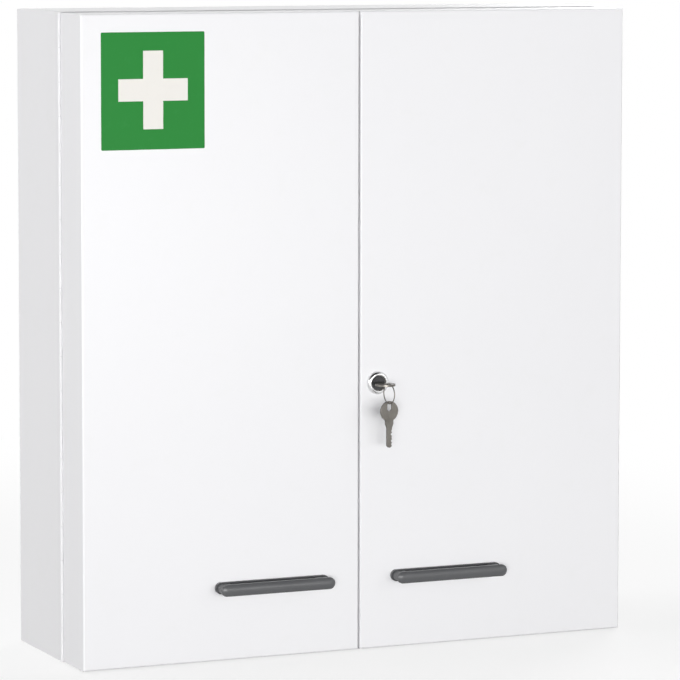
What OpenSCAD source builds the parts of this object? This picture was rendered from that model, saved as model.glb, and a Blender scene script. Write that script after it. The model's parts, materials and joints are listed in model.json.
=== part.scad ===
// Lockable two-door medicine cabinet in folded sheet steel, for hanging on a wall.
// +X right, +Y to the wall, +Z up. The origin is the centre of the cabinet's underside.

/* [Cabinet] */
// Width over the side panels
cab_w = 550; // [500:10:700]
// Height of the cabinet
cab_h = 600; // [560:10:800]
// Depth of the wall box behind the doors
body_d = 118; // [110:2:180]
// Depth of each door box
door_d = 54; // [50:1:80]
// Distance between the wall fixing holes, side to side
wall_pitch_x = 450; // [300:10:450]
// Distance between the wall fixing holes, top to bottom
wall_pitch_z = 500; // [300:10:500]
// Diameter of the wall fixing holes
wall_hole_d = 7; // [5:0.5:9]

/* [Sheet metal] */
// Thickness of the sheet steel
sheet_t = 1; // [0.8:0.1:1.2]
// Outside radius of every fold
bend_r = 1.6; // [1.4:0.1:2]
// Width of the front lip round the wall box
front_lip = 14; // [12:1:16]
// Return behind the top and bottom front lips
lip_return = 12; // [12:1:16]
// Width of the rear lip that the back panel lies against
rear_lip = 12; // [10:1:20]
// Clearance between the back panel's edge and the folds round it
back_clear = 0.8; // [0.7:0.1:1.5]

/* [Doors] */
// Gap between the two doors
door_gap = 1.4; // [1.2:0.2:3]
// How far a door stops short of the cabinet's top and underside
door_short = 1; // [0.5:0.5:2]
// Width of a door's rear lip at its top and bottom
door_lip = 24; // [22:1:30]
// Width of a door's rear lip at its two sides
door_side_lip = 18; // [17:1:24]
// Heights of the trays in each door
tray_heights = [30, 215, 400];
// Height of a tray's retaining lip
tray_lip = 28; // [15:1:40]
// Height of the tray flange welded to the door's front
tray_flange = 8; // [5:1:10]
// Gap at each end of a tray
tray_end = 1; // [0.8:0.1:3]

/* [Piano hinges] */
// Distance from the hinge's end to the cabinet's top and underside
hinge_end = 1; // [1:1:18]
// Number of knuckles on each hinge, an odd number
knuckles = 19; // [15:2:27]
// Running gap between neighbouring knuckles
knuckle_gap = 0.3; // [0.3:0.1:0.8]
// Width of each leaf, from the side panel's face inwards
leaf_w = 12; // [8:1:14]
// Thickness of each leaf
leaf_t = 0.7; // [0.6:0.1:0.9]
// Gap between the two leaves when the door is shut
leaf_gap = 0.4; // [0.3:0.1:0.6]
// Diameter of the hinge pin
pin_d = 1.8; // [1.6:0.1:2]
// Running clearance round the hinge pin
pin_clear = 0.05; // [0.02:0.01:0.08]
// Clearance between the knuckles and the folds beside them
knuckle_clear = 0.2; // [0.15:0.05:0.4]

/* [Shelves] */
// Heights of the shelf undersides
shelf_heights = [190, 390];
// Height of a shelf's front and rear lips
shelf_lip = 16; // [10:1:22]
// Gap between a shelf and the front lip's plane
shelf_front_gap = 9; // [6:1:20]
// Gap between a shelf and the back panel
shelf_back_gap = 3; // [2:1:10]
// Width of a slotted rail
rail_w = 18; // [14:1:24]
// How far a rail stands off the side panel
rail_out = 12; // [11:0.5:13]
// Distance of the rail centres from the wall box's front and rear
rail_in = 23; // [21:1:27]
// Gap below and above each rail
rail_end = 30; // [26:1:60]
// Pitch of the slots along a rail
slot_pitch = 25; // [20:1:40]
// Width of a rail slot
slot_w = 4; // [3.4:0.1:6]
// Height of a rail slot
slot_h = 12; // [10:1:14]
// Thickness of a shelf clip
clip_t = 1.2; // [1:0.1:1.4]
// Width of a shelf clip
clip_w = 12; // [8:1:14]
// Length of the clip tongue under the shelf
clip_tongue = 10; // [8:1:16]
// Clearance between a shelf's end and its clips
shelf_clear = 0.4; // [0.3:0.1:0.6]

/* [Catches] */
// Distance of each magnetic catch from the middle
catch_x = 62; // [50:1:120]
// Length of a catch body over its two screw ears
catch_w = 52; // [48:1:56]
// Depth of a catch body
catch_d = 15; // [14:1:18]
// Height of a catch body
catch_h = 11; // [10:0.5:11]
// Length of the magnet with its pole plates
magnet_w = 30; // [20:1:32]
// Height of the magnet with its pole plates
magnet_h = 7; // [5:0.5:8]
// Thickness of a strike plate
strike_t = 1; // [0.8:0.1:1.2]
// Air gap between a magnet and its strike plate
catch_air = 0.3; // [0.2:0.1:0.5]
// Thread diameter of the catch screws
catch_screw_d = 3; // [2.5:0.5:3.5]
// Diameter of the rubber door stops
stop_d = 9; // [6:0.5:11]
// Distance of the door stops from the middle
stop_x = 30; // [24:1:34]

/* [Door bolt] */
// Diameter of the bolt that holds the first door
bolt_d = 5; // [4:0.5:6]
// Length of the bolt
bolt_len = 42; // [40:1:50]
// Travel of the bolt
bolt_travel = 9; // [8:0.5:10]
// Running clearance round the bolt
bolt_clear = 0.1; // [0.05:0.01:0.1]
// Clearance round the bolt in the square hole where it enters the frame
bolt_hole_clear = 1; // [0.8:0.1:1.2]

/* [Handles] */
// Length of a handle
handle_len = 114; // [110:1:130]
// Height of a handle
handle_h = 11; // [10:0.5:13]
// How far a handle stands out from the door
handle_out = 19; // [17:0.5:24]
// Thickness of the handle's back plate
handle_plate = 3; // [2:0.5:4]
// Thickness of the handle's grip bar
handle_bar = 6; // [5:0.5:7]
// Edge radius of the grip bar
handle_edge = 2; // [1.5:0.1:2.4]
// Radius of the crown across the grip bar's front
handle_crown = 9; // [7:0.5:14]
// How much slimmer the posts are than the bar, all round
handle_step = 1.4; // [1:0.1:2]
// Distance between the two handle screws
handle_pitch = 96; // [80:1:96]
// Height of the handle's middle above the underside
handle_z = 69; // [66:1:110]
// Distance from the middle of the cabinet to the near end of a handle
handle_in = 32; // [25:1:60]
// Thread diameter of the handle screws
screw_d = 4; // [3:0.5:4]
// Clearance round the screws
screw_clear = 0.05; // [0.02:0.01:0.1]

/* [Lock] */
// Distance of the lock from the middle of the cabinet
lock_x = 18.5; // [18:0.5:22]
// Height of the lock above the underside
lock_z = 252; // [250:1:330]
// Diameter of the lock's bezel
bezel_d = 21.5; // [20:0.5:23]
// How far the bezel stands out from the door
bezel_out = 3.4; // [3:0.1:4]
// Radius of the bezel's domed rim
bezel_round = 2.6; // [1.6:0.1:2.8]
// Diameter of the lock barrel
barrel_d = 18; // [17:0.5:18.5]
// Width over the two flats of the barrel
barrel_flat = 16; // [15:0.5:16]
// Length of the barrel inside the door
barrel_len = 22; // [21:0.5:25]
// Diameter of the turning plug
plug_d = 13; // [12:0.5:13]
// How deep the plug's face lies below the bezel
plug_sunk = 1.5; // [1:0.1:2]
// Running clearance round the plug
plug_clear = 0.05; // [0.03:0.01:0.1]
// Side of the plug's square tail
tail_w = 7; // [6:0.5:7.5]
// Reach of the cam from the lock's axis
cam_reach = 28; // [26:0.5:30]
// Width of the cam
cam_w = 14; // [12:0.5:15]
// Thickness of the cam
cam_t = 2.5; // [2:0.1:3]
// Clearance round the cam in the slots of both doors
cam_clear = 1.5; // [1.2:0.1:2]
// Thickness of the keeper plate in the first door
keeper_t = 1.5; // [1:0.1:2]
// Width over the flats of the lock nut
nut_af = 24; // [22:0.5:26]
// Thickness of the lock nut
nut_t = 5; // [4:0.5:6]

/* [Keys] */
// Diameter of the key's bow
bow_d = 18.8; // [17:0.2:20]
// Thickness of a key
key_t = 1.8; // [1.6:0.1:2]
// Width of the key's blade
blade_w = 5.4; // [5:0.2:6.4]
// Length of the key's blade
blade_len = 18.5; // [17:0.5:21]
// Width of the key's neck between bow and blade
neck_w = 8.4; // [7.6:0.2:10]
// Length of the key's neck
neck_len = 7; // [4:0.2:8]
// Width of the slot in the bow
bow_slot_w = 5.2; // [4.6:0.1:5.6]
// Length of the slot in the bow
bow_slot_len = 7.8; // [7.6:0.1:8]
// Web between the slot and the bow's end
bow_web = 1.5; // [1.2:0.1:2]
// Clearance round the blade in the keyway
keyway_clear = 0.2; // [0.15:0.05:0.3]
// Depths of the cuts along the blade
blade_cuts = [0.7, 1.3, 0.5, 1.1, 0.8];
// Outside diameter of the key ring
ring_d = 19.4; // [18.8:0.1:19.6]
// Diameter of the ring's wire
wire_d = 1; // [0.9:0.1:1.2]
// Clearance between the ring and a key that hangs on it
ring_clear = 0.35; // [0.3:0.05:0.4]
// Angle that the ring and the spare key hang turned about the vertical
hang_turn = 8; // [0:1:12]

/* [Hidden] */
$fn = 48;

// Planes from front to back
body_front = -body_d / 2;
body_rear = body_d / 2;
seam_gap = 2 * leaf_t + leaf_gap;
door_rear = body_front - seam_gap;
door_front = door_rear - door_d;
side_in = cab_w / 2 - sheet_t;

// Piano hinge: the pin stands just outside the side panel, in the middle of the seam
knuckle_r = pin_d / 2 + leaf_t + pin_clear;
pin_y = body_front - seam_gap / 2;
fold_to_pin_y = seam_gap / 2 + bend_r;
pin_off = sqrt(pow(knuckle_r + bend_r + knuckle_clear, 2) - pow(fold_to_pin_y, 2)) - bend_r;
pin_x = cab_w / 2 + pin_off;
hinge_len = cab_h - 2 * hinge_end;
knuckle_pitch = hinge_len / knuckles;

// Doors
door_w = (cab_w - door_gap) / 2;
door_h = cab_h - 2 * door_short;
tray_d = door_d - 2 * sheet_t;
tray_len = door_w - 2 * sheet_t - 2 * tray_end;

// Shelves, rails and clips
rail_face = side_in - rail_out;
shelf_half = rail_face - clip_t - shelf_clear;
shelf_front = body_front + shelf_front_gap;
shelf_rear = body_rear - 2 * sheet_t - shelf_back_gap;
rail_y = body_d / 2 - rail_in;
rail_len = cab_h - 2 * rail_end;
slot_count = floor((rail_len - slot_h) / slot_pitch);
clip_up = slot_h - 1;

// Catches under the top return
catch_top = cab_h - front_lip;
catch_wall = 1.5;
catch_rear_wall = 4;
catch_ear_t = 3;
catch_screw_x = (magnet_w / 2 + catch_wall + catch_w / 2) / 2;
catch_screw_y = body_front + lip_return / 2;
magnet_front = door_rear + strike_t + catch_air;
magnet_low = catch_top - catch_h / 2 - magnet_h / 2 - 1;
pocket_clear = 0.2;
stop_clear = 0.5;
stop_t = seam_gap - stop_clear;

// Door bolt, with its lower end just under the lower saddle when it is down
bolt_plate_t = 1.2;
bolt_stand = 3.2;
bolt_x = door_gap / 2 + door_side_lip / 2;
bolt_y = door_rear + bolt_plate_t + bolt_stand + bolt_d / 2;
saddle_wall = 1.5;
saddle_h = 6;
saddle_w = bolt_d + 2 * saddle_wall + 2;
bolt_bite = 4;
bolt_top = catch_top + bolt_bite - bolt_travel;
bolt_tip = 1;
bolt_above = 2;
bolt_below = 3;
upper_saddle = bolt_top - bolt_above - saddle_h;
lower_saddle = bolt_top - bolt_len + bolt_below;
knob_d = 3.4;
knob_out = 6;
knob_button = 1.5;
knob_rest = 0.6;
knob_z = lower_saddle + saddle_h + knob_d / 2 + knob_rest;

// Handles
handle_r = handle_h / 2;
handle_mid = handle_in + handle_len / 2;
post_r = handle_r - handle_step;
post_len = (handle_len - handle_pitch) / 2 - handle_step;
screw_head_r = screw_d;
screw_head_t = 2.4;
screw_bite = 8;

// Lock
barrel_rear = door_front + barrel_len;
bezel_front = door_front - bezel_out;
plug_front = bezel_front + plug_sunk;
cam_gap = 0.3;
cam_front = barrel_rear + cam_gap;
cam_mid = cam_front + cam_t / 2;
tail_len = cam_gap + cam_t - 0.2;
cam_slot_w = cam_t + 2 * cam_clear;
cam_slot_low = lock_z - cam_w / 2 - cam_clear;
cam_near = lock_x - door_gap / 2 - sheet_t;
cam_slot_high = lock_z + sqrt(pow(cam_reach, 2) - pow(cam_near, 2)) + cam_clear;
keeper_edge = 9;
door_hole_clear = 0.2;
cam_screw_d = 4;

// Keys and their ring
neck_sink = 0.8;
bow_mid = neck_len + bow_d / 2 - neck_sink;
bow_end = bow_mid + bow_d / 2;
ring_in = ring_d / 2 - wire_d;
ring_r = ring_d / 2 - wire_d / 2;
web_y = plug_front - (bow_end - bow_web / 2);
ring_z = lock_z + key_t / 2 + ring_clear - sqrt(pow(ring_in, 2) - pow(bow_web / 2, 2));
ring_low = ring_z - ring_r;
spare_end_z = ring_z - sqrt(pow(ring_in, 2) - pow(key_t / 2, 2)) + ring_clear + bow_web;

white = [0.95, 0.96, 0.97];
zinc = [0.74, 0.75, 0.76];
charcoal = [0.33, 0.35, 0.37];
chrome = [0.82, 0.83, 0.85];
nickel = [0.66, 0.63, 0.58];
dark_plug = [0.16, 0.16, 0.17];
catch_white = [0.88, 0.88, 0.86];
rubber = [0.13, 0.13, 0.14];
ferrite = [0.25, 0.24, 0.24];

// Rectangle whose corner at the origin is rounded
module corner_rounded(w, d, r) {
  translate([r, 0]) square([w - r, d]);
  translate([0, r]) square([w, d - r]);
  translate([r, r]) circle(r);
}

// Rectangle with all four corners rounded
module soft_square(w, d, r) {
  translate([r, 0]) square([w - 2 * r, d]);
  translate([0, r]) square([w, d - 2 * r]);
  for (x = [r, w - r], y = [r, d - r]) translate([x, y]) circle(r);
}

// Section of a sheet folded once at the origin, with a leg along X and a leg along Y
module fold(leg_x, leg_y) {
  difference() {
    corner_rounded(leg_x, leg_y, bend_r);
    translate([sheet_t, sheet_t]) corner_rounded(leg_x, leg_y, bend_r - sheet_t);
  }
}

// Section of a channel: a web along Y with a lip at each end, both towards +X
module channel(web, near_lip, far_lip) {
  fold(near_lip, web / 2);
  translate([0, web]) mirror([0, 1]) fold(far_lip, web / 2);
}

// Runs a section drawn in the depth and height plane along the width
module along_width(len) {
  rotate([90, 0, 90]) linear_extrude(len, center = true) children();
}

// Turns a shape so that its Z axis points at the viewer, through the lock or a screw
module towards_front(x, y, z) {
  translate([x, y, z]) rotate([90, 0, 0]) children();
}

module on_right() {
  mirror([1, 0, 0]) children();
}

// Wall box

module side_panel() {
  translate([-cab_w / 2, body_front, 0])
    linear_extrude(cab_h) channel(body_d, front_lip, rear_lip);
}

// Section of the top panel: front lip with its return, web and rear lip
module cap_section() {
  translate([body_front, -front_lip]) {
    fold(lip_return, front_lip / 2);
    translate([0, front_lip]) mirror([0, 1]) fold(body_d / 2, front_lip / 2);
  }
  translate([body_rear, 0]) rotate(180) fold(body_d / 2, rear_lip);
}

// Cuts a lip of the top or bottom panel back to the side panel's own lip
module lip_notch(lip, face_y) {
  translate([-cab_w / 2 - 1, face_y, cab_h - front_lip - rear_lip])
    cube([lip + 1, sheet_t, front_lip + rear_lip + 1]);
}

module side_room() {
  side_panel();
  lip_notch(front_lip, body_front);
  lip_notch(rear_lip, body_rear - sheet_t);
}

module cap_panel() {
  difference() {
    translate([0, 0, cab_h]) along_width(2 * side_in) cap_section();
    side_room();
    on_right() side_room();
  }
}

module left_side_panel() {
  color(white) side_panel();
}

module right_side_panel() {
  color(white) on_right() side_panel();
}

// Puts a shape at each of the two screws of the left catch
module at_catch_screws(z) {
  for (end = [-1, 1]) translate([-catch_x + end * catch_screw_x, catch_screw_y, z]) children();
}

module catch_screw_holes() {
  at_catch_screws(catch_top - catch_h)
    cylinder(d = catch_screw_d + 2 * screw_clear, h = catch_h + 2 * sheet_t);
}

module top_panel() {
  hole = bolt_d + 2 * bolt_hole_clear;
  color(white) difference() {
    cap_panel();
    catch_screw_holes();
    on_right() catch_screw_holes();
    translate([-bolt_x, bolt_y, catch_top]) cube([hole, hole, 4 * sheet_t], center = true);
  }
}

module bottom_panel() {
  color(white) translate([0, 0, cab_h]) mirror([0, 0, 1]) cap_panel();
}

module back_panel() {
  half_w = side_in - back_clear;
  edge = sheet_t + back_clear;
  color(white) difference() {
    translate([-half_w, body_rear - 2 * sheet_t, edge])
      cube([2 * half_w, sheet_t, cab_h - 2 * edge]);
    for (x = [-1, 1], z = [-1, 1])
      towards_front(x * wall_pitch_x / 2, body_rear, cab_h / 2 + z * wall_pitch_z / 2)
        cylinder(d = wall_hole_d, h = 3 * sheet_t);
  }
}

// Slotted rail on the left side panel, with its middle at depth y
module rail(y) {
  color(zinc) difference() {
    translate([-rail_face, y + rail_w / 2, rail_end]) rotate(180)
      linear_extrude(rail_len) channel(rail_w, rail_out, rail_out);
    for (i = [0 : slot_count - 1])
      translate([-rail_face - sheet_t - 1, y - slot_w / 2, rail_end + slot_pitch / 2 + i * slot_pitch])
        cube([sheet_t + 2, slot_w, slot_h]);
  }
}

module left_front_rail() {
  rail(-rail_y);
}

module left_rear_rail() {
  rail(rail_y);
}

module right_front_rail() {
  on_right() rail(-rail_y);
}

module right_rear_rail() {
  on_right() rail(rail_y);
}

// Height of the slot that is nearest below a wanted shelf height
function slot_z(z) = rail_end + slot_pitch / 2
  + slot_pitch * max(0, min(slot_count - 1, floor((z - rail_end - slot_pitch / 2) / slot_pitch)));

// Underside of a shelf: its clips hook into the slot below
function seat_z(z) = slot_z(z) + clip_up;

module shelf_section() {
  depth = shelf_rear - shelf_front;
  translate([shelf_front, sheet_t]) mirror([0, 1]) {
    fold(depth / 2, shelf_lip);
    translate([depth, 0]) mirror([1, 0]) fold(depth / 2, shelf_lip);
  }
}

module shelf(z) {
  color(white) translate([0, 0, seat_z(z)]) along_width(2 * shelf_half) shelf_section();
}

module lower_shelf() {
  shelf(shelf_heights[0]);
}

module upper_shelf() {
  shelf(shelf_heights[1]);
}

// Clip on a left rail: a plate with a tongue for the shelf and a hook through the slot
module shelf_clip(y, z) {
  hook_clear = 0.2;
  hook_w = slot_w - 3 * hook_clear;
  hook_t = 2;
  neck_h = 3;
  hook_drop = 4;
  plate_h = clip_up + hook_drop;
  neck_out = sheet_t + hook_clear + hook_t;
  slot_low = z - clip_up;
  translate([-rail_face, y - clip_w / 2, z - plate_h]) cube([clip_t, clip_w, plate_h]);
  translate([-rail_face, y - clip_w / 2, z - clip_t]) cube([clip_tongue, clip_w, clip_t]);
  translate([-rail_face - neck_out, y - hook_w / 2, slot_low]) cube([neck_out, hook_w, neck_h]);
  translate([-rail_face - neck_out, y - hook_w / 2, slot_low - hook_drop])
    cube([hook_t, hook_w, hook_drop + neck_h]);
}

module shelf_clips(z) {
  color(zinc) for (y = [-rail_y, rail_y]) {
    shelf_clip(y, seat_z(z));
    on_right() shelf_clip(y, seat_z(z));
  }
}

module lower_shelf_clips() {
  shelf_clips(shelf_heights[0]);
}

module upper_shelf_clips() {
  shelf_clips(shelf_heights[1]);
}

// Piano hinges

// Leaf of the left hinge with every second knuckle, starting at knuckle number first
module hinge_leaf(first, face_y) {
  leaf_end = -cab_w / 2 + leaf_w;
  notch = knuckle_r + knuckle_gap;
  difference() {
    union() {
      translate([-pin_x, face_y, hinge_end]) cube([leaf_end + pin_x, leaf_t, hinge_len]);
      for (i = [first : 2 : knuckles - 1])
        translate([-pin_x, pin_y, hinge_end + i * knuckle_pitch])
          cylinder(r = knuckle_r, h = knuckle_pitch);
    }
    for (i = [1 - first : 2 : knuckles - 1])
      translate([-pin_x - notch, pin_y - notch, hinge_end + i * knuckle_pitch - knuckle_gap / 2])
        cube([2 * notch, 2 * notch, knuckle_pitch + knuckle_gap]);
    translate([-pin_x, pin_y, hinge_end - 1])
      cylinder(d = pin_d + 2 * pin_clear, h = hinge_len + 2);
  }
}

module frame_leaf() {
  color(white) hinge_leaf(0, body_front - leaf_t);
}

module door_leaf() {
  color(white) hinge_leaf(1, door_rear);
}

module hinge_pin() {
  color(zinc) translate([-pin_x, pin_y, hinge_end]) cylinder(d = pin_d, h = hinge_len);
}

module left_hinge_frame_leaf() {
  frame_leaf();
}

module left_hinge_door_leaf() {
  door_leaf();
}

module left_hinge_pin() {
  hinge_pin();
}

module right_hinge_frame_leaf() {
  on_right() frame_leaf();
}

module right_hinge_door_leaf() {
  on_right() door_leaf();
}

module right_hinge_pin() {
  on_right() hinge_pin();
}

// Catches and stops

module catch_body() {
  pocket_d = catch_d - catch_rear_wall;
  color(catch_white) difference() {
    union() {
      translate([-catch_x - magnet_w / 2 - catch_wall, body_front, catch_top - catch_h])
        cube([magnet_w + 2 * catch_wall, catch_d, catch_h]);
      translate([-catch_x - catch_w / 2, body_front, catch_top - catch_ear_t])
        linear_extrude(catch_ear_t) soft_square(catch_w, lip_return, 3);
    }
    translate([-catch_x - magnet_w / 2 - pocket_clear, body_front - 1, magnet_low - pocket_clear])
      cube([magnet_w + 2 * pocket_clear, pocket_d + 1, magnet_h + 2 * pocket_clear]);
    catch_screw_holes();
  }
}

// Magnet between two pole plates that stand proud of it
module catch_magnet() {
  plate = 1.4;
  depth = body_front + catch_d - catch_rear_wall - magnet_front;
  color(ferrite) translate([-catch_x - magnet_w / 2, magnet_front, magnet_low]) {
    for (z = [0, magnet_h - plate]) translate([0, 0, z]) cube([magnet_w, depth, plate]);
    translate([1, 1, plate]) cube([magnet_w - 2, depth - 1, magnet_h - 2 * plate]);
  }
}

module catch_screw_pair() {
  head_t = 1.8;
  at_catch_screws(catch_top - catch_ear_t) {
    cylinder(d = catch_screw_d, h = catch_ear_t + sheet_t + 2);
    translate([0, 0, -head_t]) cylinder(d = 2 * catch_screw_d, h = head_t);
  }
}

module left_catch_body() {
  catch_body();
}

module right_catch_body() {
  on_right() catch_body();
}

module left_catch_magnet() {
  catch_magnet();
}

module right_catch_magnet() {
  on_right() catch_magnet();
}

module catch_screws() {
  color(zinc) {
    catch_screw_pair();
    on_right() catch_screw_pair();
  }
}

module strike_plate() {
  beyond_x = 3;
  beyond_z = 1;
  color(zinc) translate([-catch_x - magnet_w / 2 - beyond_x, door_rear, magnet_low - beyond_z])
    cube([magnet_w + 2 * beyond_x, strike_t, magnet_h + 2 * beyond_z]);
}

module left_strike_plate() {
  strike_plate();
}

module right_strike_plate() {
  on_right() strike_plate();
}

module door_stops() {
  color(rubber) for (x = [-stop_x, stop_x], z = [front_lip / 2, cab_h - front_lip / 2])
    towards_front(x, body_front, z) cylinder(d = stop_d, h = stop_t);
}

// Doors

// Solid block of the left door, shrunk by inset on every side
module door_block(inset) {
  r = bend_r - inset;
  w = door_w - 2 * inset;
  d = door_d - 2 * inset;
  h = door_h - 2 * inset;
  intersection() {
    translate([-cab_w / 2 + inset, door_front + inset, door_short + inset])
      linear_extrude(h) soft_square(w, d, r);
    translate([-cab_w / 2 + door_w / 2, door_front + inset, door_short + inset])
      along_width(w + 2) soft_square(d, h, r);
  }
}

module cam_slot(x, wall) {
  translate([x - 1, cam_mid - cam_slot_w / 2, cam_slot_low])
    cube([wall + 2, cam_slot_w, cam_slot_high - cam_slot_low]);
}

module handle_holes() {
  for (end = [-1, 1])
    towards_front(-handle_mid + end * handle_pitch / 2, door_front + 3 * sheet_t, handle_z)
      cylinder(d = screw_d + 2 * screw_clear, h = 4 * sheet_t);
}

// Door folded from one sheet: front, four walls and a lip round the open rear
module door_shell() {
  difference() {
    door_block(0);
    door_block(sheet_t);
    translate([-cab_w / 2 + door_side_lip, door_rear - 2 * sheet_t, door_short + door_lip])
      cube([door_w - 2 * door_side_lip, 3 * sheet_t, door_h - 2 * door_lip]);
    cam_slot(-door_gap / 2 - sheet_t, sheet_t);
    handle_holes();
  }
}

// Outline of the lock barrel with its two flats
module barrel_section(d, flat) {
  intersection() {
    circle(d = d);
    square([flat, d + 1], center = true);
  }
}

module left_door_shell() {
  color(white) door_shell();
}

module right_door_shell() {
  color(white) difference() {
    on_right() door_shell();
    towards_front(lock_x, door_front + 2 * sheet_t, lock_z)
      linear_extrude(4 * sheet_t)
        barrel_section(barrel_d + 2 * door_hole_clear, barrel_flat + 2 * door_hole_clear);
  }
}

// Section of a door tray: floor, flange on the door's front and retaining lip at the rear
module tray_section() {
  translate([door_front + sheet_t, 0]) {
    fold(tray_d / 2, tray_flange);
    translate([tray_d, 0]) mirror([1, 0]) fold(tray_d / 2, tray_lip);
  }
}

module door_tray(z) {
  color(white) translate([-cab_w / 2 + door_w / 2, 0, z]) along_width(tray_len) tray_section();
}

module left_door_lower_tray() {
  door_tray(tray_heights[0]);
}

module left_door_middle_tray() {
  door_tray(tray_heights[1]);
}

module left_door_upper_tray() {
  door_tray(tray_heights[2]);
}

module right_door_lower_tray() {
  on_right() door_tray(tray_heights[0]);
}

module right_door_middle_tray() {
  on_right() door_tray(tray_heights[1]);
}

module right_door_upper_tray() {
  on_right() door_tray(tray_heights[2]);
}

// Keeper plate that stiffens the cam's slot in the left door
module lock_keeper() {
  x = -door_gap / 2 - sheet_t - keeper_t;
  color(zinc) difference() {
    translate([x, cam_mid - cam_slot_w / 2 - keeper_edge, cam_slot_low - keeper_edge])
      cube([keeper_t, cam_slot_w + 2 * keeper_edge, cam_slot_high - cam_slot_low + 2 * keeper_edge]);
    cam_slot(x, keeper_t);
  }
}

// Door bolt

module bolt_guide() {
  edge = 2;
  plate_low = lower_saddle - edge;
  plate_w = door_side_lip - 2 * edge;
  bore_d = bolt_d + 2 * bolt_clear;
  saddle_d = bolt_y + bolt_d / 2 + saddle_wall - door_rear;
  color(zinc) difference() {
    union() {
      translate([-bolt_x - plate_w / 2, door_rear, plate_low])
        cube([plate_w, bolt_plate_t, upper_saddle + saddle_h - plate_low]);
      for (z = [lower_saddle, upper_saddle])
        translate([-bolt_x - saddle_w / 2, door_rear, z]) cube([saddle_w, saddle_d, saddle_h]);
    }
    translate([-bolt_x, bolt_y, plate_low - 1]) cylinder(d = bore_d, h = bolt_len + saddle_h);
  }
}

module door_bolt() {
  button_lip = 1;
  knob_len = bolt_d / 2 + knob_out;
  color(chrome) translate([-bolt_x, bolt_y, 0]) {
    translate([0, 0, bolt_top - bolt_len]) cylinder(d = bolt_d, h = bolt_len - bolt_tip);
    translate([0, 0, bolt_top - bolt_tip])
      cylinder(d1 = bolt_d, d2 = bolt_d - 1.6 * bolt_tip, h = bolt_tip);
    translate([0, 0, knob_z]) rotate([-90, 0, 0]) {
      cylinder(d = knob_d, h = knob_len);
      translate([0, 0, knob_len]) cylinder(d = knob_d + 2 * button_lip, h = knob_button);
    }
  }
}

// Handles

// Flat outline with full round ends, as long as len between the end centres
module pill(len, r) {
  square([len, 2 * r], center = true);
  for (end = [-1, 1]) translate([end * len / 2, 0]) circle(r);
}

// Section of the grip bar from its centre line out, seen along the handle, with a crowned front
module half_bar_section() {
  intersection() {
    union() {
      square([handle_r - handle_edge, handle_bar]);
      translate([0, handle_edge]) square([handle_r, handle_bar - 2 * handle_edge]);
      for (z = [handle_edge, handle_bar - handle_edge])
        translate([handle_r - handle_edge, z]) circle(handle_edge);
    }
    translate([0, handle_bar - handle_crown]) circle(handle_crown);
  }
}

// Grip bar with its edges rounded all the way round
module grip_bar() {
  span = handle_len - handle_h;
  rotate([90, 0, 90]) linear_extrude(span, center = true) {
    half_bar_section();
    mirror([1, 0]) half_bar_section();
  }
  for (end = [-1, 1]) translate([end * span / 2, 0, 0]) rotate_extrude() half_bar_section();
}

module handle() {
  span = handle_len - handle_h;
  color(charcoal) towards_front(-handle_mid, door_front, handle_z) difference() {
    union() {
      linear_extrude(handle_plate) pill(span, handle_r);
      translate([0, 0, handle_out - handle_bar]) grip_bar();
      for (end = [-1, 1]) translate([end * handle_pitch / 2, 0, handle_plate / 2])
        linear_extrude(handle_out - handle_bar / 2 - handle_plate / 2) pill(post_len, post_r);
    }
    for (end = [-1, 1]) translate([end * handle_pitch / 2, 0, -1])
      cylinder(d = screw_d + 2 * screw_clear, h = screw_bite + 2);
  }
}

module handle_screws() {
  color(zinc) for (end = [-1, 1])
    towards_front(-handle_mid + end * handle_pitch / 2, door_front + sheet_t, handle_z) {
      cylinder(d = screw_d, h = sheet_t + screw_bite);
      translate([0, 0, -screw_head_t]) cylinder(r = screw_head_r, h = screw_head_t);
    }
}

module left_handle() {
  handle();
}

module right_handle() {
  on_right() handle();
}

module left_handle_screws() {
  handle_screws();
}

module right_handle_screws() {
  on_right() handle_screws();
}

// Lock

// Section of the bezel from the lock's axis out, with a domed rim
module bezel_section() {
  intersection() {
    union() {
      square([bezel_d / 2 - bezel_round, bezel_out]);
      square([bezel_d / 2, bezel_out - bezel_round]);
      translate([bezel_d / 2 - bezel_round, bezel_out - bezel_round]) circle(bezel_round);
    }
    square([bezel_d / 2, bezel_out]);
  }
}

module lock_barrel() {
  funnel = 1.1;
  bore_d = plug_d + 2 * plug_clear;
  color(chrome) towards_front(lock_x, barrel_rear, lock_z) difference() {
    union() {
      linear_extrude(barrel_len) barrel_section(barrel_d, barrel_flat);
      translate([0, 0, barrel_len]) rotate_extrude() bezel_section();
    }
    translate([0, 0, -1]) cylinder(d = bore_d, h = barrel_len + bezel_out + 2);
    translate([0, 0, barrel_len + bezel_out - funnel])
      cylinder(d1 = bore_d, d2 = bore_d + 2 * funnel, h = funnel + 0.01);
  }
}

module lock_washer() {
  rim = 3.5;
  color(zinc) towards_front(lock_x, door_front + 2 * sheet_t, lock_z) difference() {
    cylinder(d = barrel_d + 2 * rim, h = sheet_t);
    translate([0, 0, -1]) cylinder(d = barrel_d + 2 * door_hole_clear, h = sheet_t + 2);
  }
}

module lock_nut() {
  color(zinc) towards_front(lock_x, door_front + 2 * sheet_t + nut_t, lock_z) difference() {
    cylinder(r = nut_af / sqrt(3), h = nut_t, $fn = 6);
    translate([0, 0, -1]) cylinder(d = barrel_d + 2 * screw_clear, h = nut_t + 2);
  }
}

// Ring groove turned into the face of the plug, round the keyway
module face_groove() {
  groove_in = 1.4;
  mid_r = plug_d / 2 - groove_in;
  groove_w = 0.7;
  groove_depth = 0.5;
  towards_front(lock_x, plug_front + groove_depth, lock_z) difference() {
    cylinder(r = mid_r + groove_w / 2, h = groove_depth + 1);
    translate([0, 0, -1]) cylinder(r = mid_r - groove_w / 2, h = groove_depth + 3);
  }
}

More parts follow.
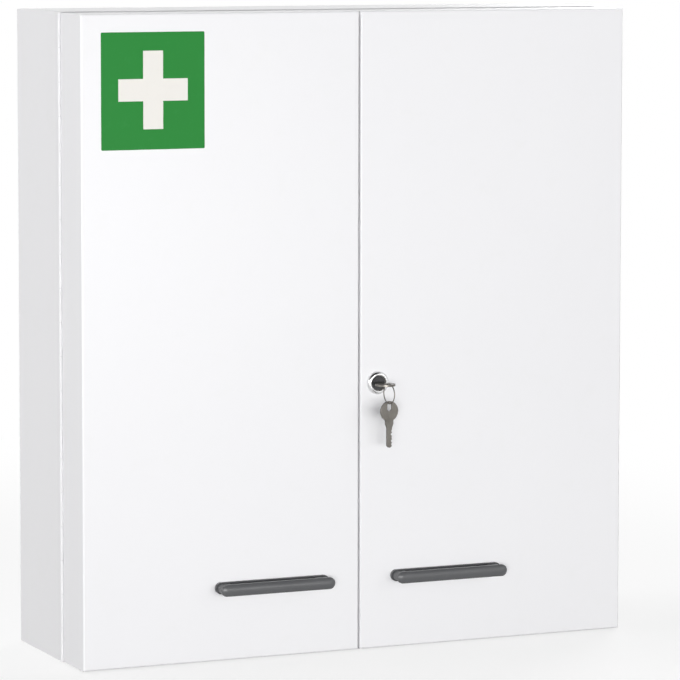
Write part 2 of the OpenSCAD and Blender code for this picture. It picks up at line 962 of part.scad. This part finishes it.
module lock_plug() {
  key_depth = blade_len + 0.5;
  color(dark_plug) difference() {
    towards_front(lock_x, barrel_rear + tail_len, lock_z) {
      translate([0, 0, tail_len]) cylinder(d = plug_d, h = barrel_rear - plug_front);
      linear_extrude(tail_len + 1) square(tail_w, center = true);
    }
    face_groove();
    translate([lock_x, plug_front + key_depth / 2 - 0.5, lock_z])
      cube([blade_w + 2 * keyway_clear, key_depth + 1, key_t + 2 * keyway_clear], center = true);
    towards_front(lock_x, barrel_rear + tail_len + 1, lock_z)
      cylinder(d = cam_screw_d + 2 * screw_clear, h = tail_len + 1);
  }
}

module lock_cam() {
  color(zinc) towards_front(lock_x, cam_front + cam_t, lock_z) linear_extrude(cam_t) difference() {
    union() {
      circle(d = cam_w);
      intersection() {
        translate([-cam_w / 2, 0]) square([cam_w, cam_reach]);
        circle(cam_reach);
      }
    }
    square(tail_w + 2 * screw_clear, center = true);
  }
}

module cam_screw() {
  head_t = 2.6;
  head_rim = 1.5;
  color(zinc) towards_front(lock_x, cam_front + cam_t, lock_z) {
    translate([0, 0, -head_t]) cylinder(d = tail_w + 2 * head_rim, h = head_t);
    cylinder(d = cam_screw_d, h = tail_len);
  }
}

// Keys

// Outline of a key in its own plane: neck at the origin, bow towards +Y, blade towards -Y
module key_outline() {
  first_cut = 3;
  floor_half = 0.4;
  mouth_half = 1.6;
  beyond = 0.1;
  step = (blade_len - first_cut) / len(blade_cuts);
  difference() {
    union() {
      translate([0, bow_mid]) circle(d = bow_d);
      polygon([[blade_w / 2, 0], [neck_w / 2, neck_len / 2], [neck_w / 2, neck_len],
        [-neck_w / 2, neck_len], [-neck_w / 2, neck_len / 2], [-blade_w / 2, 0]]);
      translate([-blade_w / 2, -blade_len + blade_w / 2]) square([blade_w, blade_len]);
      translate([0, -blade_len + blade_w / 2]) circle(d = blade_w);
    }
    for (i = [0 : len(blade_cuts) - 1]) translate([blade_w / 2, -first_cut - i * step])
      polygon([[beyond, mouth_half], [-blade_cuts[i], floor_half],
        [-blade_cuts[i], -floor_half], [beyond, -mouth_half]]);
    translate([0, bow_end - bow_web - bow_slot_w / 2]) circle(d = bow_slot_w);
    translate([0, bow_end - bow_web - bow_slot_len + bow_slot_w / 2]) circle(d = bow_slot_w);
    translate([-bow_slot_w / 2, bow_end - bow_web - bow_slot_len + bow_slot_w / 2])
      square([bow_slot_w, bow_slot_len - bow_slot_w]);
  }
}

// Flat key, centred on its thickness
module flat_key() {
  linear_extrude(key_t, center = true) key_outline();
}

module door_key() {
  color(nickel) translate([lock_x, plug_front, lock_z]) mirror([0, 1, 0]) flat_key();
}

// Hangs a shape under the door key's bow, turned a little about the vertical
module hung(z) {
  translate([lock_x, web_y, z]) rotate([0, 0, hang_turn]) children();
}

module key_ring() {
  color(nickel) hung(ring_z) rotate([0, 90, 0])
    rotate_extrude() translate([ring_r, 0]) circle(d = wire_d);
}

module spare_key() {
  color(nickel) hung(spare_end_z - bow_end) rotate([90, 0, 0]) flat_key();
}

left_side_panel();
right_side_panel();
top_panel();
bottom_panel();
back_panel();
left_front_rail();
left_rear_rail();
right_front_rail();
right_rear_rail();
upper_shelf();
lower_shelf();
upper_shelf_clips();
lower_shelf_clips();
left_hinge_frame_leaf();
left_hinge_pin();
right_hinge_frame_leaf();
right_hinge_pin();
left_catch_body();
left_catch_magnet();
right_catch_body();
right_catch_magnet();
catch_screws();
door_stops();
left_door_shell();
left_door_lower_tray();
left_door_middle_tray();
left_door_upper_tray();
left_hinge_door_leaf();
left_handle();
left_handle_screws();
left_strike_plate();
lock_keeper();
bolt_guide();
door_bolt();
right_door_shell();
right_door_lower_tray();
right_door_middle_tray();
right_door_upper_tray();
right_hinge_door_leaf();
right_handle();
right_handle_screws();
right_strike_plate();
lock_barrel();
lock_washer();
lock_nut();
lock_plug();
lock_cam();
cam_screw();
door_key();
key_ring();
spare_key();
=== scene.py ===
import json
import math

import bmesh
import bpy
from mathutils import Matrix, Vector


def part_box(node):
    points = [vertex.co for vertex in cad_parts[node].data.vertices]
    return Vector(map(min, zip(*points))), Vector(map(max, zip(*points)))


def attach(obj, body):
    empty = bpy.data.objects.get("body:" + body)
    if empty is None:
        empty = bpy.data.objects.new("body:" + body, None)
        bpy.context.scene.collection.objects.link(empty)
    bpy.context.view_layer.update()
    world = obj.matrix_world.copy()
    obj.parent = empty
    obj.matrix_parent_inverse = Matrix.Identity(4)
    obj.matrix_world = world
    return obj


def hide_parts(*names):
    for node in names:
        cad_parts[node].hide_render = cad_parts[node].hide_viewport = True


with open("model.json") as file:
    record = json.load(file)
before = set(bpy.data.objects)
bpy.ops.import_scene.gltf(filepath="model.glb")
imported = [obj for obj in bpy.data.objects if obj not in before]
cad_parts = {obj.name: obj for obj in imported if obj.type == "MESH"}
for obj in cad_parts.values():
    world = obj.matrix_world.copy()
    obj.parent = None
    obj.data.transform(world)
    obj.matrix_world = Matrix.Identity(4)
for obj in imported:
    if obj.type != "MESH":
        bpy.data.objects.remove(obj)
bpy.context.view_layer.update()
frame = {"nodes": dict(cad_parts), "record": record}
print("frame loaded:", len(frame["nodes"]), "nodes")


# camera
cameraSizes = {
    "place": (-1.4613, -3.3525, 0.6926),
    "yaw": 23.18,
    "pitch": -5.2,
    "lens": 202.97,
    "shiftX": 0.08,
    "shiftY": -0.12,
    "sensor": 36,
    "farthest": 40,
}


def addCamera(s):
    data = bpy.data.cameras.new("photoCamera")
    data.lens = s["lens"]
    data.sensor_width = s["sensor"]
    data.shift_x = s["shiftX"]
    data.shift_y = s["shiftY"]
    data.clip_end = s["farthest"]
    cam = bpy.data.objects.new("photoCamera", data)
    bpy.context.scene.collection.objects.link(cam)
    cam.location = s["place"]
    cam.rotation_euler = (math.radians(90 + s["pitch"]), 0, math.radians(-s["yaw"]))
    bpy.context.scene.camera = cam


addCamera(cameraSizes)
print("camera placed")


# shared effects
def newGroup(name, inputs, outputs):
    group = bpy.data.node_groups.new(name, "ShaderNodeTree")
    for label, kind in inputs:
        group.interface.new_socket(name=label, in_out="INPUT", socket_type=kind)
    for label, kind in outputs:
        group.interface.new_socket(name=label, in_out="OUTPUT", socket_type=kind)
    nodes = group.nodes
    return group, nodes.new("NodeGroupInput"), nodes.new("NodeGroupOutput")


def addMath(tree, operation, first, second):
    node = tree.nodes.new("ShaderNodeMath")
    node.operation = operation
    for socket, value in zip(node.inputs, (first, second)):
        if isinstance(value, (int, float)):
            socket.default_value = value
        else:
            tree.links.new(value, socket)
    return node.outputs[0]


def addNoise(tree, vector, scale, detail=2.0, roughness=0.5):
    node = tree.nodes.new("ShaderNodeTexNoise")
    node.inputs["Detail"].default_value = detail
    node.inputs["Roughness"].default_value = roughness
    if isinstance(scale, (int, float)):
        node.inputs["Scale"].default_value = scale
    else:
        tree.links.new(scale, node.inputs["Scale"])
    tree.links.new(vector, node.inputs["Vector"])
    return node.outputs["Fac"]


# The Mix node has sockets for each kind of data, and those for colour are found by their number
mixSockets = {"mask": 0, "low": 6, "high": 7, "result": 2}


def mixColour(tree, mask, low, high):
    node = tree.nodes.new("ShaderNodeMix")
    node.data_type = "RGBA"
    tree.links.new(mask, node.inputs[mixSockets["mask"]])
    for side, value in (("low", low), ("high", high)):
        socket = node.inputs[mixSockets[side]]
        if isinstance(value, tuple):
            socket.default_value = value
        else:
            tree.links.new(value, socket)
    return node.outputs[mixSockets["result"]]


def stretchedPlace(tree, stretch):
    coord = tree.nodes.new("ShaderNodeTexCoord")
    mapping = tree.nodes.new("ShaderNodeMapping")
    mapping.inputs["Scale"].default_value = stretch
    tree.links.new(coord.outputs["Object"], mapping.inputs["Vector"])
    return mapping.outputs["Vector"]


toneSizes = {
    "cloudDetail": 3.0, "rubFiner": 9.0, "rubDetail": 4.0, "rubRough": 0.65,
    "rubFrom": 0.56, "rubSharp": 5.0, "grainDetail": 2.0,
}


# Cloudy change of tone, rubbed spots and a fine surface relief
def makeSurfaceTone(s):
    group, take, give = newGroup(
        "surfaceTone",
        [("Vector", "NodeSocketVector"), ("Cloud", "NodeSocketFloat"), ("Grain", "NodeSocketFloat"),
         ("Rough Low", "NodeSocketFloat"), ("Rough High", "NodeSocketFloat")],
        [("Tone", "NodeSocketFloat"), ("Rub", "NodeSocketFloat"), ("Roughness", "NodeSocketFloat"),
         ("Relief", "NodeSocketFloat")])
    vector = take.outputs["Vector"]
    cloud = addNoise(group, vector, take.outputs["Cloud"], s["cloudDetail"])
    rubScale = addMath(group, "MULTIPLY", take.outputs["Cloud"], s["rubFiner"])
    rub = addNoise(group, vector, rubScale, s["rubDetail"], s["rubRough"])
    grain = addNoise(group, vector, take.outputs["Grain"], s["grainDetail"])
    rubMask = addMath(group, "MULTIPLY", addMath(group, "SUBTRACT", rub, s["rubFrom"]), s["rubSharp"])
    clamp = group.nodes.new("ShaderNodeClamp")
    group.links.new(rubMask, clamp.inputs["Value"])
    span = addMath(group, "SUBTRACT", take.outputs["Rough High"], take.outputs["Rough Low"])
    rough = addMath(group, "ADD", addMath(group, "MULTIPLY", cloud, span), take.outputs["Rough Low"])
    group.links.new(cloud, give.inputs["Tone"])
    group.links.new(clamp.outputs[0], give.inputs["Rub"])
    group.links.new(rough, give.inputs["Roughness"])
    group.links.new(grain, give.inputs["Relief"])
    return group


surfaceTone = makeSurfaceTone(toneSizes)


def startMaterial(name):
    mat = bpy.data.materials.new(name)
    mat.use_nodes = True
    return mat, mat.node_tree, mat.node_tree.nodes["Principled BSDF"]


def addTone(tree, stretch, cloud, grain, roughLow, roughHigh):
    node = tree.nodes.new("ShaderNodeGroup")
    node.node_tree = surfaceTone
    tree.links.new(stretchedPlace(tree, stretch), node.inputs["Vector"])
    for label, value in (("Cloud", cloud), ("Grain", grain), ("Rough Low", roughLow),
                         ("Rough High", roughHigh)):
        node.inputs[label].default_value = value
    return node


def addBump(tree, shader, height, strength, distance):
    bump = tree.nodes.new("ShaderNodeBump")
    bump.inputs["Strength"].default_value = strength
    bump.inputs["Distance"].default_value = distance
    tree.links.new(height, bump.inputs["Height"])
    tree.links.new(bump.outputs["Normal"], shader.inputs["Normal"])


# Values of a finish that names none of its own
plainFinish = {"stretch": (1, 1, 1), "metal": 0.0, "specular": 0.5, "coat": 0.0, "coatRough": 0.2}


# One finish: two tones, a rubbed tone, roughness between two values and a relief
def makeFinish(name, s):
    mat, tree, shader = startMaterial(name)
    roughLow, roughHigh = s["rough"]
    tone = addTone(tree, s["stretch"], s["cloud"], s["grain"], roughLow, roughHigh)
    clouded = mixColour(tree, tone.outputs["Tone"], s["dark"] + (1,), s["light"] + (1,))
    rubMask = addMath(tree, "MULTIPLY", tone.outputs["Rub"], s["rubShare"])
    colour = mixColour(tree, rubMask, clouded, s["rub"] + (1,))
    tree.links.new(colour, shader.inputs["Base Color"])
    tree.links.new(tone.outputs["Roughness"], shader.inputs["Roughness"])
    shader.inputs["Metallic"].default_value = s["metal"]
    shader.inputs["Specular IOR Level"].default_value = s["specular"]
    shader.inputs["Coat Weight"].default_value = s["coat"]
    shader.inputs["Coat Roughness"].default_value = s["coatRough"]
    addBump(tree, shader, tone.outputs["Relief"], s["bump"], s["depth"])
    return mat


finishes = {
    "doorEnamel": {"dark": (0.874, 0.872, 0.89), "light": (0.898, 0.894, 0.908), "rub": (0.85, 0.85, 0.848),
                   "rubShare": 0.25, "cloud": 5, "grain": 1100, "rough": (0.3, 0.42), "bump": 0.12,
                   "depth": 0.0002, "specular": 0.4, "coat": 0.15, "coatRough": 0.25},
    "boxEnamel": {"dark": (0.862, 0.858, 0.874), "light": (0.886, 0.88, 0.894), "rub": (0.84, 0.84, 0.836),
                  "rubShare": 0.3, "cloud": 5, "grain": 1100, "rough": (0.32, 0.44), "bump": 0.12,
                  "depth": 0.0002, "specular": 0.4, "coat": 0.15, "coatRough": 0.25},
    # The hinge takes the cabinet's white enamel made darker, as painted shade that dims the light its
    # knuckles catch at the side seam
    "hingeEnamelPaintedShade": {"dark": (0.8, 0.795, 0.81), "light": (0.84, 0.835, 0.85), "rub": (0.72, 0.72, 0.715),
                    "rubShare": 0.4, "cloud": 12, "grain": 1400, "rough": (0.34, 0.46), "bump": 0.15,
                    "depth": 0.0002, "specular": 0.4},
    "zincPlate": {"dark": (0.5, 0.51, 0.53), "light": (0.64, 0.65, 0.66), "rub": (0.42, 0.42, 0.41),
                  "rubShare": 0.4, "cloud": 30, "grain": 700, "rough": (0.3, 0.46), "metal": 1.0,
                  "stretch": (1, 1, 0.12), "bump": 0.2, "depth": 0.0002},
    "boltChrome": {"dark": (0.66, 0.67, 0.68), "light": (0.74, 0.745, 0.75), "rub": (0.5, 0.5, 0.5),
                   "rubShare": 0.3, "cloud": 60, "grain": 1500, "rough": (0.12, 0.24), "metal": 1.0,
                   "stretch": (1, 1, 0.3), "bump": 0.1, "depth": 0.0001},
    "lockChrome": {"dark": (0.64, 0.642, 0.645), "light": (0.76, 0.762, 0.765), "rub": (0.48, 0.47, 0.46),
                   "rubShare": 0.35, "cloud": 90, "grain": 1800, "rough": (0.16, 0.28), "metal": 1.0,
                   "bump": 0.08, "depth": 0.0001},
    "plugLacquer": {"dark": (0.014, 0.014, 0.016), "light": (0.026, 0.026, 0.028), "rub": (0.1, 0.096, 0.092),
                    "rubShare": 0.5, "cloud": 90, "grain": 1800, "rough": (0.3, 0.5), "bump": 0.1,
                    "depth": 0.0001},
    "keyNickel": {"dark": (0.12, 0.111, 0.098), "light": (0.235, 0.223, 0.205), "rub": (0.36, 0.345, 0.32),
                  "rubShare": 0.5, "cloud": 70, "grain": 1500, "rough": (0.26, 0.42), "metal": 1.0,
                  "bump": 0.12, "depth": 0.0002},
    "handleGrey": {"dark": (0.082, 0.084, 0.088), "light": (0.106, 0.108, 0.113), "rub": (0.14, 0.143, 0.148),
                   "rubShare": 0.25, "cloud": 22, "grain": 1300, "rough": (0.26, 0.36), "bump": 0.25,
                   "depth": 0.0003},
    "catchPlastic": {"dark": (0.76, 0.76, 0.73), "light": (0.82, 0.82, 0.79), "rub": (0.66, 0.65, 0.6),
                     "rubShare": 0.4, "cloud": 30, "grain": 1300, "rough": (0.35, 0.5), "bump": 0.1,
                     "depth": 0.0002},
    "magnetDark": {"dark": (0.1, 0.095, 0.095), "light": (0.16, 0.155, 0.15), "rub": (0.26, 0.25, 0.24),
                   "rubShare": 0.5, "cloud": 60, "grain": 900, "rough": (0.45, 0.65), "metal": 0.6,
                   "bump": 0.3, "depth": 0.0003},
    "stopRubber": {"dark": (0.02, 0.02, 0.021), "light": (0.034, 0.034, 0.036), "rub": (0.07, 0.07, 0.068),
                   "rubShare": 0.4, "cloud": 80, "grain": 1200, "rough": (0.7, 0.88), "bump": 0.3,
                   "depth": 0.0003},
    "signGreen": {"dark": (0.006, 0.205, 0.021), "light": (0.01, 0.235, 0.03), "rub": (0.02, 0.26, 0.045),
                  "rubShare": 0.3, "cloud": 14, "grain": 900, "rough": (0.44, 0.58), "bump": 0.08,
                  "depth": 0.0001, "specular": 0.25},
    "signWhite": {"dark": (0.87, 0.845, 0.8), "light": (0.89, 0.865, 0.825), "rub": (0.83, 0.81, 0.76),
                  "rubShare": 0.3, "cloud": 14, "grain": 900, "rough": (0.44, 0.58), "bump": 0.08,
                  "depth": 0.0001, "specular": 0.25},
}
materials = {name: makeFinish(name, {**plainFinish, **s}) for name, s in finishes.items()}
print("finishes made:", len(materials))


# finishes of the CAD nodes
slotFinish = {
    "white_enamel": "boxEnamel", "door_enamel": "doorEnamel", "hinge_enamel": "hingeEnamelPaintedShade",
    "zinc_steel": "zincPlate", "bolt_chrome": "boltChrome", "lock_chrome": "lockChrome",
    "plug_dark": "plugLacquer", "key_nickel": "keyNickel", "handle_plastic": "handleGrey",
    "catch_plastic": "catchPlastic", "ferrite": "magnetDark", "stop_rubber": "stopRubber",
}
nodeSlot = {row["node"]: row["material_slot"] for row in frame["record"]["subparts"]}


def finishNodes():
    for name, node in frame["nodes"].items():
        mat = materials[slotFinish[nodeSlot[name]]]
        if not node.material_slots:
            node.data.materials.append(mat)
        for slot in node.material_slots:
            slot.material = mat


finishNodes()
print("nodes finished")


# tools for new pieces
def clearSelection():
    if bpy.context.mode != "OBJECT":
        bpy.ops.object.mode_set(mode="OBJECT")
    bpy.ops.object.select_all(action="DESELECT")


def addBlock(name, centre, size):
    clearSelection()
    bpy.ops.mesh.primitive_cube_add(size=1, location=centre)
    block = bpy.context.object
    block.name = name
    block.data.name = name
    block.scale = size
    bpy.ops.object.transform_apply(location=True, rotation=False, scale=True)
    return block


# Selects the edges or faces of the object in edit mode that a test picks
def pick(kind, test):
    bpy.ops.mesh.select_mode(type=kind)
    bpy.ops.mesh.select_all(action="DESELECT")
    mesh = bmesh.from_edit_mesh(bpy.context.object.data)
    parts = {"FACE": mesh.faces, "EDGE": mesh.edges}[kind]
    for part in parts:
        if test(part):
            part.select_set(True)
    mesh.select_flush_mode()
    bmesh.update_edit_mesh(bpy.context.object.data)


# first-aid sign: the green plate
plateSizes = {
    "left": -0.2558, "top": 0.5824, "wide": 0.1005, "high": 0.1065, "thick": 0.0003,
    "corner": 0.0012, "cornerSteps": 4, "sameLine": 1e-6,
}


def alongY(edge, s):
    a, b = (v.co for v in edge.verts)
    return abs(a.x - b.x) < s["sameLine"] and abs(a.z - b.z) < s["sameLine"]


def addSignPlate(s):
    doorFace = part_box("left_door_shell")[0][1]
    centre = (s["left"] + s["wide"] / 2, doorFace - s["thick"] / 2, s["top"] - s["high"] / 2)
    plate = addBlock("sign_plate", centre, (s["wide"], s["thick"], s["high"]))
    bpy.ops.object.mode_set(mode="EDIT")
    pick("EDGE", lambda edge: alongY(edge, s))
    bpy.ops.mesh.bevel(offset=s["corner"], segments=s["cornerSteps"])
    bpy.ops.object.mode_set(mode="OBJECT")
    plate.data.materials.append(materials["signGreen"])
    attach(plate, "left_door")
    return centre[0], doorFace - s["thick"], centre[2]


# first-aid sign: the white cross
crossSizes = {
    "wide": 0.0674, "high": 0.0711, "upright": 0.0193, "bar": 0.0202, "up": 0.0008,
    "thick": 0.00012, "sameFacing": 0.9,
}


# It begins as the block where the bars meet, and the four ends are drawn out of that block
def addSignCross(s, plateFront):
    sideways = (s["wide"] - s["upright"]) / 2
    upwards = (s["high"] - s["bar"]) / 2
    middle = (plateFront[0], plateFront[1] - s["thick"] / 2, plateFront[2] + s["up"])
    nearMiddle = s["upright"] / 4
    cross = addBlock("sign_cross", middle, (s["upright"], s["thick"], s["bar"]))
    bpy.ops.object.mode_set(mode="EDIT")
    for axis, across, reach in ((0, 2, sideways), (2, 0, upwards)):
        for side in (-1, 1):
            out = Vector((0, 0, 0))
            out[axis] = side
            pick("FACE", lambda face: face.normal.dot(out) > s["sameFacing"]
                 and abs(face.calc_center_median()[across] - middle[across]) < nearMiddle)
            bpy.ops.mesh.extrude_region_move(TRANSFORM_OT_translate={"value": out * reach})
    bpy.ops.object.mode_set(mode="OBJECT")
    cross.data.materials.append(materials["signWhite"])
    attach(cross, "left_door")


signFront = addSignPlate(plateSizes)
addSignCross(crossSizes, signFront)
print("sign added")


# keys with rounded rims, in place of the sharp ones of the CAD
keySizes = {
    "weld": 0.00001, "flatTurn": 1.0, "rimTurn": 50.0, "flatArea": 0.000009,
    "rimRound": 0.0003, "rimSteps": 3, "smoothTurn": 35.0,
}


# An edge of one of the key's flat sides, where it turns sharply into the rim
def onRim(edge, s):
    return (len(edge.link_faces) == 2
            and edge.calc_face_angle(0) > math.radians(s["rimTurn"])
            and max(face.calc_area() for face in edge.link_faces) > s["flatArea"])


def addRoundedKey(name, s):
    clearSelection()
    piece = bpy.data.objects.new(name + "_rounded", frame["nodes"][name].data.copy())
    bpy.context.scene.collection.objects.link(piece)
    bpy.context.view_layer.objects.active = piece
    piece.select_set(True)
    bpy.ops.object.mode_set(mode="EDIT")
    bpy.ops.mesh.select_all(action="SELECT")
    bpy.ops.mesh.remove_doubles(threshold=s["weld"])
    bpy.ops.mesh.dissolve_limited(angle_limit=math.radians(s["flatTurn"]))
    pick("EDGE", lambda edge: onRim(edge, s))
    bpy.ops.mesh.bevel(offset=s["rimRound"], segments=s["rimSteps"], clamp_overlap=True)
    bpy.ops.object.mode_set(mode="OBJECT")
    bpy.ops.object.shade_smooth_by_angle(angle=math.radians(s["smoothTurn"]))
    bpy.ops.object.modifier_add(type="WEIGHTED_NORMAL")
    evener = piece.modifiers[-1]
    evener.keep_sharp = True
    bpy.ops.object.modifier_apply(modifier=evener.name)
    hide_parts(name)
    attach(piece, name)
    print(name, "rounded, faces:", len(piece.data.polygons))


addRoundedKey("door_key", keySizes)
addRoundedKey("spare_key", keySizes)


# floor, backdrop and light
stageSizes = {
    "floorDrop": 0.0004, "floorHalf": 9.0, "floorTone": 0.92, "mottle": 0.02, "mottleScale": 3.0,
    "floorRough": 0.9, "floorShine": 0.1, "bounceTone": 0.12,
    "shadowTo": 0.5, "whiteFrom": 1.4, "whiteShare": 0.75, "sky": 0.12,
    "skyColour": (0.97, 0.985, 1, 1), "roomSide": (-0.15, -0.6, 0.79), "roomEdge": (0.58, 0.82),
    "roomDim": 0.05,
}


def grey(tone):
    return (tone, tone, tone, 1)


def mirrorOrGlass(tree, path):
    return addMath(tree, "MAXIMUM", path.outputs["Is Glossy Ray"], path.outputs["Is Transmission Ray"])


# Pale floor that takes the cabinet's shadow near it and runs out to white far from it.
# It throws little light back up the doors, so that the handles have no shadow above them
def makeFloorMaterial(s):
    mat, tree, shader = startMaterial("studioFloor")
    place = stretchedPlace(tree, (1, 1, 1))
    colour = mixColour(tree, addNoise(tree, place, s["mottleScale"]), grey(s["floorTone"]),
                       grey(s["floorTone"] + s["mottle"]))
    path = tree.nodes.new("ShaderNodeLightPath")
    seen = addMath(tree, "MAXIMUM", path.outputs["Is Camera Ray"], mirrorOrGlass(tree, path))
    tree.links.new(mixColour(tree, seen, grey(s["bounceTone"]), colour), shader.inputs["Base Color"])
    shader.inputs["Roughness"].default_value = s["floorRough"]
    shader.inputs["Specular IOR Level"].default_value = s["floorShine"]
    length = tree.nodes.new("ShaderNodeVectorMath")
    length.operation = "LENGTH"
    tree.links.new(place, length.inputs[0])
    fade = tree.nodes.new("ShaderNodeMapRange")
    fade.interpolation_type = "SMOOTHSTEP"
    fade.inputs["From Min"].default_value = s["shadowTo"]
    fade.inputs["From Max"].default_value = s["whiteFrom"]
    fade.inputs["To Min"].default_value = s["whiteShare"]
    tree.links.new(length.outputs["Value"], fade.inputs["Value"])
    white = tree.nodes.new("ShaderNodeEmission")
    mix = tree.nodes.new("ShaderNodeMixShader")
    tree.links.new(addMath(tree, "MULTIPLY", seen, fade.outputs["Result"]), mix.inputs[0])
    tree.links.new(shader.outputs[0], mix.inputs[1])
    tree.links.new(white.outputs[0], mix.inputs[2])
    tree.links.new(mix.outputs[0], tree.nodes["Material Output"].inputs["Surface"])
    return mat


def addFloor(s):
    clearSelection()
    bpy.ops.mesh.primitive_plane_add(size=2 * s["floorHalf"], location=(0, 0, -s["floorDrop"]))
    floor = bpy.context.object
    floor.name = "studio_floor"
    floor.data.materials.append(makeFloorMaterial(s))


# White to the camera. Polished metal also sees a dim patch, as from the room behind a photographer
def setWorld(s):
    world = bpy.data.worlds.new("studioWorld")
    bpy.context.scene.world = world
    world.use_nodes = True
    tree = world.node_tree
    tree.nodes.clear()
    out = tree.nodes.new("ShaderNodeOutputWorld")
    seen = tree.nodes.new("ShaderNodeBackground")
    seen.inputs["Color"].default_value = grey(1)
    lit = tree.nodes.new("ShaderNodeBackground")
    lit.inputs["Color"].default_value = s["skyColour"]
    lit.inputs["Strength"].default_value = s["sky"]
    room = tree.nodes.new("ShaderNodeBackground")
    room.inputs["Color"].default_value = grey(1)
    coord = tree.nodes.new("ShaderNodeTexCoord")
    facing = tree.nodes.new("ShaderNodeVectorMath")
    facing.operation = "DOT_PRODUCT"
    facing.inputs[1].default_value = Vector(s["roomSide"]).normalized()
    tree.links.new(coord.outputs["Generated"], facing.inputs[0])
    patch = tree.nodes.new("ShaderNodeMapRange")
    patch.interpolation_type = "SMOOTHSTEP"
    patch.inputs["From Min"].default_value = s["roomEdge"][0]
    patch.inputs["From Max"].default_value = s["roomEdge"][1]
    patch.inputs["To Min"].default_value = 1.0
    patch.inputs["To Max"].default_value = s["roomDim"]
    tree.links.new(facing.outputs["Value"], patch.inputs["Value"])
    tree.links.new(patch.outputs["Result"], room.inputs["Strength"])
    path = tree.nodes.new("ShaderNodeLightPath")
    mirrored = tree.nodes.new("ShaderNodeMixShader")
    tree.links.new(mirrorOrGlass(tree, path), mirrored.inputs[0])
    tree.links.new(lit.outputs[0], mirrored.inputs[1])
    tree.links.new(room.outputs[0], mirrored.inputs[2])
    mix = tree.nodes.new("ShaderNodeMixShader")
    tree.links.new(path.outputs["Is Camera Ray"], mix.inputs[0])
    tree.links.new(mirrored.outputs[0], mix.inputs[1])
    tree.links.new(seen.outputs[0], mix.inputs[2])
    tree.links.new(mix.outputs[0], out.inputs["Surface"])


# Key, fill and low light the doors, side the left side, top the top, rear the back and right side
lampSizes = {
    "key": {"place": (-1.1, -3.4, 0.4), "aim": (0, -0.05, 0.3), "wide": 2.2, "high": 0.75, "power": 86},
    "fill": {"place": (1.8, -2.4, 1.0), "aim": (0, -0.05, 0.2), "wide": 1.0, "high": 1.0, "power": 6},
    "low": {"place": (0.4, -2.8, 0.25), "aim": (0.2, -0.05, 0.05), "wide": 1.0, "high": 0.45, "power": 13},
    "side": {"place": (-3.2, 0.3, 0.7), "aim": (-0.27, 0, 0.3), "wide": 1.4, "high": 1.2, "power": 46},
    "top": {"place": (-0.5, 0.5, 2.4), "aim": (0, 0, 0.6), "wide": 1.0, "high": 1.0, "power": 15},
    "rear": {"place": (2.4, 2.4, 1.3), "aim": (0, 0, 0.3), "wide": 1.5, "high": 1.5, "power": 85},
}


def addLamp(name, s):
    data = bpy.data.lights.new(name, "AREA")
    data.energy = s["power"]
    data.shape = "RECTANGLE"
    data.size = s["wide"]
    data.size_y = s["high"]
    lamp = bpy.data.objects.new(name, data)
    bpy.context.scene.collection.objects.link(lamp)
    lamp.location = s["place"]
    lamp.rotation_euler = (Vector(s["aim"]) - Vector(s["place"])).to_track_quat("-Z", "Y").to_euler()


addFloor(stageSizes)
setWorld(stageSizes)
for lampName, sizes in lampSizes.items():
    addLamp(lampName, sizes)
bpy.context.scene.view_settings.view_transform = "Standard"
print("studio set")
